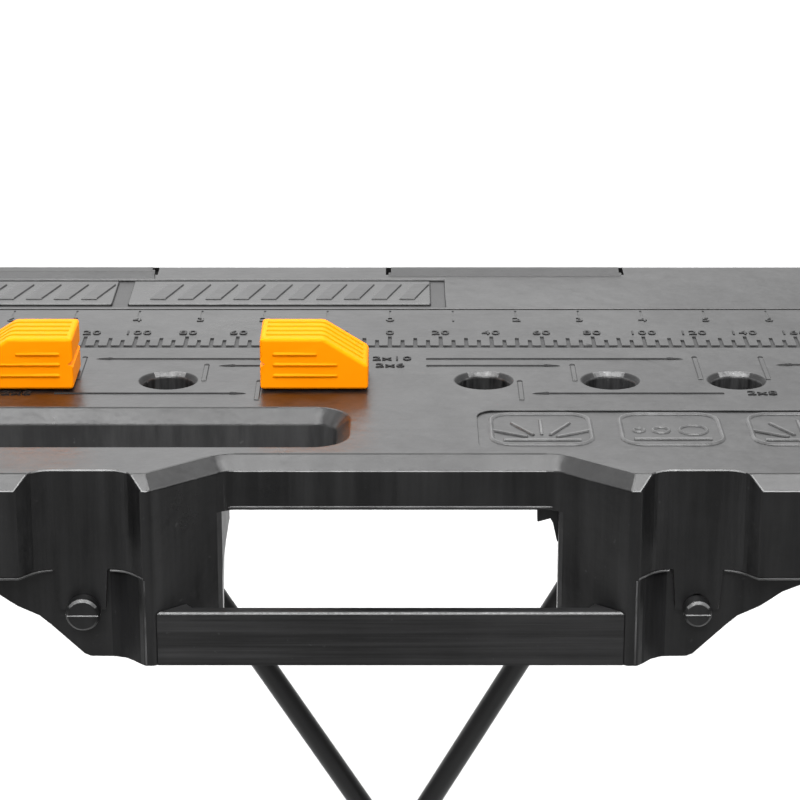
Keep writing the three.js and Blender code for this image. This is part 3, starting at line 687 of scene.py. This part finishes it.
figures = []
for k in range(-14, 15):
    figures.append((str(abs(k) * 20), 20 * k, RULER_Y + 17.6, 4.8, 1.05))
labels("ruler_figures", figures, TICK_MAT)
labels("inch_figures", [(str(abs(k)), 25.4 * k, STEP_Y - 14.2, 4.6, 1.15) for k in range(-11, 12)], TOP_MAT)

lumber = Marks(tall=0.36)
stops = Marks(tall=0.42)


def arrow(x0, x1, y):
    """A line from x0 to its head at x1."""
    s = 1 if x1 > x0 else -1
    lumber.bar(x0, y, x1 - s * 3.4, y, 0.95)
    lumber.poly([(x1, y - 0.2), (x1 - s * 6.2, y + 1.5), (x1 - s * 4.6, y), (x1 - s * 6.2, y - 1.1)])


def stop_bar(x, y0, y1):
    stops.bar(x, y0, x, y1 - 1.6, 2.0)
    lumber.poly(circle(x, y1 - 0.2, 1.1, 12))


for s in (-1, 1):
    arrow(s * 14.0, s * 113, 133.6)
    stop_bar(s * 117.5, 108.5, 135.6)
    arrow(s * 14.0, s * 65.3, 125.0)
    stop_bar(s * 69.9, 106.5, 126.0)
    arrow(s * 124.5, s * 53.2, 91.4)
    stop_bar(s * 49, 84, 106)
    stop_bar(s * 143, 108.5, 135.6)
    arrow(s * 188, s * 148, 126.2)
lumber.done("lumber_marks")
stops.done("lumber_stops", TOP_MAT)
words = [("2x10", 0.9, 133.6, 4.3, 1.2), ("2x6", 0.2, 125.0, 4.3, 1.2)]
for s in (-1, 1):
    words += [("2x8", s * 138.6, 91.4, 4.3, 1.2), ("2x12", s * 200, 126.2, 4.3, 1.2)]
labels("lumber_figures", words)

# Raised frames in the right-hand panel, each with a plain measuring aid; all in a lighter material, a painted
# highlight on the ridges.
panel = Marks(base=-0.7, tall=0.6)
for i in range(4):
    x0 = 35.8 + i * 46.6
    x1 = x0 + 37.6
    panel.ring(round_rect(x0, x1, 35.0, 70.4, 8.5), round_rect(x0 + 1.9, x1 - 1.9, 36.9, 68.5, 6.6), 0.75)
    cx = (x0 + x1) / 2
    if i % 2 == 0:
        # Angle marks fanned out from a base line.
        panel.bar(cx - 14, 41, cx + 14, 41, 1.5)
        for a in range(30, 151, 30):
            c, q = math.cos(math.radians(a)), math.sin(math.radians(a))
            panel.bar(cx + 6 * c, 41 + 6 * q, cx + 21 * c, 41 + 21 * q if a != 90 else 62, 1.3)
    else:
        # Rings of growing size, as a gauge for screws and dowels.
        for dx, r in ((-11.5, 2.6), (-3.6, 3.6), (8.0, 5.6)):
            panel.ring(circle(cx + dx, 51.5, r), circle(cx + dx, 51.5, r - 1.25))
        panel.bar(cx - 14, 42, cx + 14, 42, 1.4)
panel.done("gauge_frames", FRAME_HIGHLIGHT_MAT)

# Slanted grip ribs on the two plates at the back.
ribs = Marks(base=0.0, tall=0.5)
for i in range(10):
    x = -99 + i * 11.4
    ribs.poly([(x, 214.5), (x + 6.6, 214.5), (x + 12.6, 235.5), (x + 6.0, 235.5)], taper=0.3)
for i in range(10):
    x = -230 + i * 11.4
    ribs.poly([(x, 214.5), (x + 6.6, 214.5), (x + 12.6, 235.5), (x + 6.0, 235.5)], taper=0.3)
ribs.done("panel_ribs", TOP_MAT)


# ----------------------------------------------------------- pegs on the tabs
def peg(side, x, z, r, face):
    bm = bmesh.new()
    prof = [(face, 0), (face, r - 1.1), (face + 0.06, r - 0.96), (face + 0.16, r - 0.84), (face + 0.84, r - 0.16), (face + 0.94, r - 0.06), (face + 1.1, r)]
    prof += [(7.6, r), (7.75, r - 0.3), (7.75, 0)]
    revolve(bm, [(a * 0.001, q * 0.001) for a, q in prof], L(x, 0, z), (0, 1, 0), 56)
    # The parting line of the mould across the face and along the sides.
    for x0, x1, sect in ((0.5 - r, r - 0.5, [(face + 0.5, -0.2), (face - 0.3, -0.2), (face - 0.26, -0.12), (face + 0.02, 0.17), (face + 0.5, 0.17)]),
                         (-r - 0.1, 0.5 - r, [(7.6, -0.15), (face + 0.9, -0.15), (face + 0.9, 0.0), (face + 1.0, 0.15), (7.6, 0.15)]),
                         (r - 0.5, r + 0.1, [(7.6, -0.15), (face + 0.9, -0.15), (face + 0.9, 0.0), (face + 1.0, 0.15), (7.6, 0.15)])):
        ends = [[bm.verts.new(L(x + e, q, z + h)) for q, h in sect] for e in (x0, x1)]
        bm.faces.new(ends[0])
        bm.faces.new(ends[1][::-1])
        for i in range(5):
            j = (i + 1) % 5
            bm.faces.new((ends[0][i], ends[0][j], ends[1][j], ends[1][i]))
    revolve(bm, [(6e-3, 0), (6e-3, 2e-3), (18.6e-3, 2e-3), (19e-3, 1.6e-3), (19e-3, 0)], L(x, 0, -48.6), (0, 1, 0), 24)
    ob = add(f"peg_knob_{side}", bm, TOP_MAT, "top", sharp=42)
    # Painted highlight: a lighter crescent on the upper front of the peg's rim.
    lighter(ob, PAINTED_HIGHLIGHT_MAT, lambda n: -0.85 < n.y < -0.55 and n.z > 0.4)
    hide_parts(f"peg_{side}")


peg("left", -106.5, -52.0, 5.95, 2.3)
peg("right", 107.7, -51.2, 4.85, 1.1)

# ----------------------------------------------------------------- bench dogs


def prism(outline, y0, y1, name):
    """An outline in X and Z pulled from y0 to y1, for joining and cutting."""
    bm = bmesh.new()
    a = [bm.verts.new(L(x, y0, z)) for x, z in outline]
    b = [bm.verts.new(L(x, y1, z)) for x, z in outline]
    bm.faces.new(a)
    bm.faces.new(b[::-1])
    n = len(a)
    for i in range(n):
        j = (i + 1) % n
        bm.faces.new((a[i], b[i], b[j], a[j]))
    bmesh.ops.recalc_face_normals(bm, faces=bm.faces)
    return bm


def swept(path, section, normals):
    """A closed section carried along a path of points in X and Z; section is [across Y, along the normal]."""
    bm = bmesh.new()
    rows = []
    for (x, y, z), (nx, nz) in zip(path, normals):
        rows.append([bm.verts.new(L(x + nx * h, y + c, z + nz * h)) for c, h in section])
    n = len(section)
    for a, b in zip(rows, rows[1:]):
        for i in range(n):
            j = (i + 1) % n
            bm.faces.new((a[i], a[j], b[j], b[i]))
    bm.faces.new(rows[0])
    bm.faces.new(rows[-1][::-1])
    bmesh.ops.recalc_face_normals(bm, faces=bm.faces)
    return bm


def dog(side, s, hx, lean):
    """A dog over its hole; lean is how far its head sits to one side on the loose peg."""
    yc = 107.5
    X = lambda u: hx + lean + s * u
    low, high, half = 0.55, 20.3, 13.5
    body = [(X(-12.6), low), (X(27.6), low), (X(27.6), 9.9), (X(11), high), (X(-12.6), high)]
    bm = prism(body, yc - half, yc + half, "dog")
    round_edges(bm, list(bm.edges), 0.0013, 3)
    ob = cutter(bm, f"dog_{side}_head")
    # Grooves over the top and down the slope, a notch in the flat face.
    ns = (s * 0.5309, 0.8474)
    bend = (s * 0.2762, 0.9611)
    tools = []
    for k in (-7.9, -2.6, 2.7, 8.0):
        path = [(X(-10.4), yc + k, high), (X(11), yc + k, high), (X(25.6), yc + k, 9.9 + (27.6 - 25.6) * 10.4 / 16.6)]
        sect = [(-1.3, 0.5), (1.3, 0.5), (1.1, -0.05), (0.45, -1.7), (-0.45, -1.7), (-1.1, -0.05)]
        tools.append(cutter(swept(path, sect, [(0, 1), bend, ns])))
    notch = [(X(-14), 8.2), (X(-14), 12.8), (X(-10.7), 10.5)]
    tools.append(cutter(prism(notch, yc - 20, yc + 20, "notch")))
    boolean(ob, tools, "DIFFERENCE")
    # Finger ribs on the two long sides.
    tools = []
    for z, u1 in ((14.4, 8.7), (10.35, 16.3), (6.1, 16.3)):
        for f in (-1, 1):
            y = yc + f * half
            path = [(X(-7.9), y, z), (X(-7.1), y, z), (X(u1 - 0.8), y, z), (X(u1), y, z)]
            rb = bmesh.new()
            rows = []
            for (px, py, pz), k in zip(path, (0.05, 1, 1, 0.05)):
                rows.append([rb.verts.new(L(px, py + f * o * k if o > 0 else py + f * o, pz + h)) for h, o in ((-0.95, -0.4), (-0.8, 0.1), (-0.1, 0.58), (0.2, 0.58), (0.85, -0.05), (0.95, -0.4))])
            for a, b in zip(rows, rows[1:]):
                for i in range(6):
                    j = (i + 1) % 6
                    rb.faces.new((a[i], a[j], b[j], b[i]))
            rb.faces.new(rows[0])
            rb.faces.new(rows[-1][::-1])
            tools.append(cutter(rb))
    boolean(ob, tools, "UNION")
    # The peg below, with its ring groove and a bevelled tip.
    pb = bmesh.new()
    prof = [(-27, 0), (-27, 6.6), (-26.4, 7.3), (-25, 8.6), (-24.4, 8.7), (-16, 8.7), (-15.2, 7), (-9.8, 7), (-9, 8.7), (1.5, 8.7), (1.5, 0)]
    revolve(pb, [(a * 0.001, r * 0.001) for a, r in prof], L(hx, yc, 0), (0, 0, 1), 48)
    boolean(ob, [cutter(pb)], "UNION")
    bm = bmesh.new()
    bm.from_mesh(ob.data)
    me = ob.data
    bpy.data.objects.remove(ob)
    bpy.data.meshes.remove(me)
    bmesh.ops.remove_doubles(bm, verts=bm.verts, dist=1e-6)
    ob = add(f"dog_{side}_moulding", bm, ORANGE, f"dog_{side}", sharp=44)
    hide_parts(f"bench_dog_{side}")
    bm = bmesh.new()
    pts = [(-12.5 + 1.85 * math.sin(2 * math.pi * i / 16), 8.27 + 0.87 * math.cos(2 * math.pi * i / 16)) for i in range(16)]
    c = L(hx, yc, 0)
    rows = [[bm.verts.new(c + Vector((r * math.cos(t), r * math.sin(t), a)) * 0.001) for a, r in pts] for t in (2 * math.pi * i / 40 for i in range(40))]
    for a, b in zip(rows, rows[1:] + rows[:1]):
        for i in range(16):
            j = (i + 1) % 16
            bm.faces.new((a[i], a[j], b[j], b[i]))
    ob = add(f"dog_{side}_grip_ring", bm, RUBBER, f"dog_ring_{side}", weighted=False)
    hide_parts(f"dog_ring_{side}")


dog("left", -1, -130.9, 0.75)
dog("right", 1, -35.7, 0.25)

# ----------------------------------------------------------------- leg frames
FR, RR = math.radians(18), math.radians(12)
fs, fc, rs, rc = math.sin(FR), math.cos(FR), math.sin(RR), math.cos(RR)


def on_front(x, d):
    return L(x, 55 - fs * d, -85 - fc * d)


def on_rear(x, d, n=0.0):
    return L(x, 205 + rs * d + rc * n, -52 - rc * d + rs * n)


FRONT_RUN, REAR_RUN = (790 - 85) / fc, (790 - 52) / rc
STAY_Z = -85 - fc * 230
REAR_ARM = (-52 - STAY_Z) / rc
HOOK_Y, PIN_Y = 55 - fs * 230, 205 + rs * REAR_ARM


def foot(name, at, x, run, body, node):
    """Rubber ferrule over the leg end: rolled mouth, grip rings, cut flat where it meets the floor."""
    d = at(x, run) - at(x, 0)
    prof = [(run - 56, 12.8), (run - 56, 14.2), (run - 55.3, 15.2), (run - 54, 15.7), (run - 52.4, 15.7), (run - 51, 15.2), (run - 50, 15.0)]
    for k in range(4):
        a = run - 44 + 6.5 * k
        prof += [(a, 15.2 + 0.25 * k), (a + 0.7, 15.75 + 0.25 * k), (a + 2.6, 15.8 + 0.25 * k), (a + 3.3, 15.25 + 0.25 * k)]
    prof += [(run - 17, 16.3), (run - 13, 16.9), (run + 12, 17.0), (run + 12, 0), (run - 13.7, 0), (run - 13.7, 12.8), (run - 56, 12.8)]
    bm = bmesh.new()
    revolve(bm, [(a * 0.001, r * 0.001) for a, r in prof], at(x, 0), d, 56)
    bmesh.ops.remove_doubles(bm, verts=bm.verts, dist=1e-7)
    geom = list(bm.verts) + list(bm.edges) + list(bm.faces)
    cutres = bmesh.ops.bisect_plane(bm, geom=geom, plane_co=(0, 0, 0.0), plane_no=(0, 0, -1), clear_outer=True)
    edges = [e for e in cutres["geom_cut"] if isinstance(e, bmesh.types.BMEdge)]
    if edges:
        bmesh.ops.edgeloop_fill(bm, edges=edges)
    ob = add(name, bm, RUBBER, body, sharp=46)
    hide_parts(node)


def plug(name, at, x, body, node):
    prof = [(-19.0, 0), (-19.0, 10.6), (-18.6, 11.7), (-17.9, 12.35), (-16.9, 12.5), (-16.3, 12.5), (-16.3, 10.7), (-8.5, 10.7), (-8.0, 10.2), (-8.0, 0)]
    turned(name, prof, at(x, 0), at(x, 1) - at(x, 0), TOP_MAT, body, [node], seg=48)


for side, s in (("left", -1), ("right", 1)):
    xf, xr = 297 * s, 258 * s
    tube(f"front_tube_{side}", on_front(xf, -16), on_front(xf, FRONT_RUN - 14), 0.0125, 0.011, COAT, "front_legs", f"front_leg_{side}",
         holes=[(on_front(xf, 0), (1, 0, 0), 0.0053), (on_front(xf - s * 26, 230), (1, 0, 0), 0.0043)])
    tube(f"rear_tube_{side}", on_rear(xr, -16), on_rear(xr, REAR_RUN - 14), 0.0125, 0.011, COAT, "rear_legs", f"rear_leg_{side}",
         holes=[(on_rear(xr, 0), (1, 0, 0), 0.0053), (on_rear(xr + s * 26, REAR_ARM), (1, 0, 0), 0.0043)])
    foot(f"front_ferrule_{side}", on_front, xf, FRONT_RUN, "front_legs", f"front_foot_{side}")
    foot(f"rear_ferrule_{side}", on_rear, xr, REAR_RUN, "rear_legs", f"rear_foot_{side}")
    plug(f"front_tube_cap_{side}", on_front, xf, "front_legs", f"front_leg_plug_{side}")
    plug(f"rear_tube_cap_{side}", on_rear, xr, "rear_legs", f"rear_leg_plug_{side}")


def bead(bm, centre, normal, r, size, seed):
    """A weld bead: a lumpy ring round a joint."""
    u, v, w = basis(normal)
    rows = []
    n, m = 40, 8
    for i in range(n):
        t = 2 * math.pi * i / n
        lump = 1 + 0.16 * math.sin(9 * t + seed) + 0.1 * math.sin(17 * t + 2.1 * seed)
        out = u * math.cos(t) + v * math.sin(t)
        rows.append([bm.verts.new(centre + out * (r + size * lump * math.cos(q)) + w * (size * lump * math.sin(q))) for q in (2 * math.pi * j / m for j in range(m))])
    for a, b in zip(rows, rows[1:] + rows[:1]):
        for i in range(m):
            j = (i + 1) % m
            bm.faces.new((a[i], a[j], b[j], b[i]))


def crossbar(name, at, d, x, r, body, node):
    """A round bar between the legs with its weld beads."""
    p0, p1 = at(-x, d), at(x, d)
    k = Vector((1, 0, 0))
    bm = bmesh.new()
    n = (p1 - p0).length - 2 * 0.0118
    revolve(bm, [(0, 0), (0, r), (n, r), (n, 0)], p0 + k * 0.0118, k, 48)
    bead(bm, p0 + k * 0.0128, k, r, 0.0013, 1.0)
    bead(bm, p1 - k * 0.0128, k, r, 0.0013, 2.0)
    ob = add(name, bm, COAT, body)
    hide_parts(node)


FRONT_BAR, REAR_TOP, REAR_LOW = (650 - 85) / fc, (80 - 52) / rc, (690 - 52) / rc
crossbar("front_step_bar", on_front, FRONT_BAR, 297, 0.011, "front_legs", "front_crossbar")
crossbar("rear_head_bar", on_rear, REAR_TOP, 258, 0.009, "rear_legs", "rear_upper_crossbar")
crossbar("rear_foot_bar", on_rear, REAR_LOW, 258, 0.011, "rear_legs", "rear_lower_crossbar")

ROD_TOP, ROD_SLOPE = 103.8, 0.5372
rod_x = lambda z: ROD_TOP - ROD_SLOPE * (-80 - z)
CROSS = ((80 + ROD_TOP / ROD_SLOPE) - 52) / rc
for side, s in (("left", -1), ("right", 1)):
    n = -5.2 * s
    a, b = on_rear(s * rod_x(-80) - 4.48, REAR_TOP, n), on_rear(s * rod_x(-690) + 9.67, REAR_LOW, n)
    k = (b - a).normalized()
    run = (b - a).length
    bm = bmesh.new()
    revolve(bm, [(0.006, 0), (0.006, 0.0048), (run - 0.0075, 0.0048), (run - 0.0075, 0)], a, k, 32)
    bead(bm, a + k * 0.0095, k, 0.0046, 0.0012, 3.0 + s)
    bead(bm, b - k * 0.0115, k, 0.0046, 0.0012, 5.0 + s)
    ob = add(f"cross_rod_{side}", bm, COAT, "rear_legs")
    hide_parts(f"brace_rod_{side}")
dome = [(-12.3, 0), (-12.2, 1.4), (-11.8, 2.8), (-11.1, 3.8), (-10.2, 4.0), (-10.2, 2.5), (10.2, 2.5), (10.2, 4.0), (11.1, 3.8), (11.8, 2.8), (12.2, 1.4), (12.3, 0)]
turned("cross_rivet", dome, on_rear(0, CROSS), Vector((0, rc, rs)), ZINC, "rear_legs", ["brace_rivet"], seg=32)

# Brackets, pins, screws and the side stays.
for side, s in (("left", -1), ("right", 1)):
    for fr, x, y, z, sign in (("front", 297 * s, 55, -85, -s), ("rear", 258 * s, 205, -52, s)):
        rounded_node(f"{fr}_bracket_{side}", f"{fr}_hanger_{side}", COAT, "top", 0.00045, 2)
        head = [(-18.5, 0), (-18.5, 5.6), (-18.1, 6.9), (-17.5, 7.8), (-16.5, 8.0), (-16.5, 5.0), (15.6, 5.0), (16.3, 4.3), (16.4, 0)]
        turned(f"{fr}_hinge_pin_{side}", head, L(x, y, z), (sign, 0, 0), ZINC, "top", [f"{fr}_pivot_pin_{side}"], seg=40)
        for dy, letter in ((-12, "a"), (12, "b")):
            node = f"{fr}_bracket_screw_{side}_{letter}"
            under = -9.2
            bm = bmesh.new()
            revolve(bm, [(-0.9e-3, 0), (-0.9e-3, 3.7e-3), (-0.6e-3, 4.0e-3), (0, 4.0e-3), (0, 2e-3), (6.6e-3, 2e-3), (6.8e-3, 1.6e-3), (6.8e-3, 0)], L(x, y + dy, under), (0, 0, 1), 32)
            hexa = [(-2.4e-3, 2.5e-3), (-2.1e-3, 3.15e-3), (-0.8e-3, 3.15e-3)]
            rows = [[bm.verts.new(L(x, y + dy, under) + Vector((r * math.cos(t), r * math.sin(t), a))) for t in (math.pi * i / 3 + 0.3 for i in range(6))] for a, r in hexa]
            bm.faces.new(rows[0])
            for p, q in zip(rows, rows[1:]):
                for i in range(6):
                    j = (i + 1) % 6
                    bm.faces.new((p[i], p[j], q[j], q[i]))
            bm.faces.new(rows[-1][::-1])
            ob = add(f"{fr}_hanger_screw_{side}_{letter}", bm, ZINC, "top")
            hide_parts(node)
    rounded_node(f"side_stay_{side}", f"level_stay_{side}", COAT, f"stay_{side}", 0.0005, 2)
    axis = (s, 0, 0)
    pin = [(264, 0), (264, 4), (271, 4), (271, 5.7), (271.3, 6), (275.3, 6), (275.6, 5.7), (275.6, 4), (280.4, 4), (280.4, 7), (281.4, 6.9), (282.2, 6.1), (282.7, 4.2), (282.8, 0)]
    turned(f"stay_hinge_pin_{side}", pin, L(0, PIN_Y, STAY_Z), axis, ZINC, "rear_legs", [f"stay_pin_{side}"], seg=36)
    stud = [(273, 0), (273.1, 4.2), (273.6, 6.1), (274.4, 6.9), (275.6, 7), (275.6, 4), (280.4, 4), (280.4, 5.7), (280.7, 6), (283.7, 6), (284, 5.7), (284, 4), (291, 4), (291, 0)]
    turned(f"stay_hook_stud_{side}", stud, L(0, HOOK_Y, STAY_Z), axis, ZINC, "front_legs", [f"stay_stud_{side}"], seg=36)
    rounded_node(f"handle_screw_{side}", f"grip_screw_{side}", ZINC, "top", 0.0003, 2, angle=40)
    rounded_node(f"peg_clip_{side}", f"peg_push_clip_{side}", ZINC, "top", 0.0002, 2, angle=40)

# ----------------------------------------------------------------- the studio
scene = bpy.context.scene
scene.view_settings.view_transform = "Standard"
scene.view_settings.look = "None"

fm, fnt, fb = material("pale_floor")
fb.inputs["Base Color"].default_value = (0.42, 0.42, 0.42, 1)
fb.inputs["Roughness"].default_value = 0.9
fb.inputs["Specular IOR Level"].default_value = 0.0
bm = bmesh.new()
bmesh.ops.create_grid(bm, x_segments=4, y_segments=4, size=14.0)
me = bpy.data.meshes.new("floor")
bm.to_mesh(me)
bm.free()
floor = bpy.data.objects.new("floor", me)
floor.location = (0, 4.0, -0.0004)
scene.collection.objects.link(floor)
me.materials.append(fm)

# A soft room: bright behind, dim in front.
world = bpy.data.worlds.new("room")
scene.world = world
world.use_nodes = True
wt = world.node_tree
bg = next(n for n in wt.nodes if n.type == "BACKGROUND")
co = wt.nodes.new("ShaderNodeTexCoord")
sep = wt.nodes.new("ShaderNodeSeparateXYZ")
wt.links.new(co.outputs["Generated"], sep.inputs[0])


def fade(axis, at0, at1, v0, v1):
    mr = wt.nodes.new("ShaderNodeMapRange")
    mr.interpolation_type = "SMOOTHSTEP"
    for key, v in (("From Min", at0), ("From Max", at1), ("To Min", v0), ("To Max", v1)):
        mr.inputs[key].default_value = v
    wt.links.new(sep.outputs[axis], mr.inputs["Value"])
    return mr.outputs["Result"]


def times(a, b):
    m = wt.nodes.new("ShaderNodeMath")
    m.operation = "MULTIPLY"
    wt.links.new(a, m.inputs[0])
    wt.links.new(b, m.inputs[1])
    return m.outputs[0]


wt.links.new(times(times(fade("Y", 0.1, 0.75, 0.29, 2.05), fade("Z", 0.22, 0.36, 0.45, 1.12)), fade("X", 0.0, 0.24, 1.0, 0.6)), bg.inputs["Strength"])
bg.inputs["Color"].default_value = (1, 1, 1, 1)


def softbox(name, at, target, sx, sy, radiance, spread=180):
    li = bpy.data.lights.new(name, "AREA")
    li.shape = "RECTANGLE"
    li.size, li.size_y = sx, sy
    half = math.radians(spread) / 2
    # A narrower spread gathers the same power, so it is scaled to keep the radiance on the axis.
    gather = 1.0 if spread == 180 else (math.tan(half) - half) / math.tan(half)
    li.energy = radiance * sx * sy * math.pi * gather
    li.spread = 2 * half
    ob = bpy.data.objects.new(name, li)
    scene.collection.objects.link(ob)
    ob.location = at
    ob.rotation_euler = (Vector(target) - Vector(at)).to_track_quat("-Z", "Y").to_euler()
    ob.visible_camera = False
    return ob


softbox("overhead", (0.0, -0.44, 1.75), (0, -0.05, 0.79), 1.0, 0.36, 8.2)
softbox("overhead_left", (-0.38, -0.43, 1.72), (-0.38, -0.05, 0.79), 0.34, 0.36, 3.2)
softbox("overhead_right", (0.38, -0.43, 1.72), (0.38, -0.05, 0.79), 0.34, 0.36, 3.8)
softbox("key", (-0.1, -1.7, 1.95), (0, 0.0, 0.75), 1.2, 0.7, 16.0, 60)
softbox("side_left", (-1.3, -0.14, 1.68), (0, 0.0, 0.75), 0.62, 1.3, 2.2)
softbox("side_right", (1.3, -0.14, 1.68), (0, 0.0, 0.75), 0.62, 1.3, 3.3)
softbox("back_floor", (0.0, 3.3, 3.6), (0, 3.3, 0.0), 8.0, 5.0, 13.0, 90)

cam = bpy.data.cameras.new("camera")
cam.sensor_width = 36.0
cam.lens = 2890.0 / 800.0 * 36.0
cam.clip_start, cam.clip_end = 0.05, 100.0
camera = bpy.data.objects.new("camera", cam)
scene.collection.objects.link(camera)
camera.location = L(4.0, -927.6, 338.4)
camera.rotation_euler = (math.radians(90 - 18.5), 0, 0)
scene.camera = camera
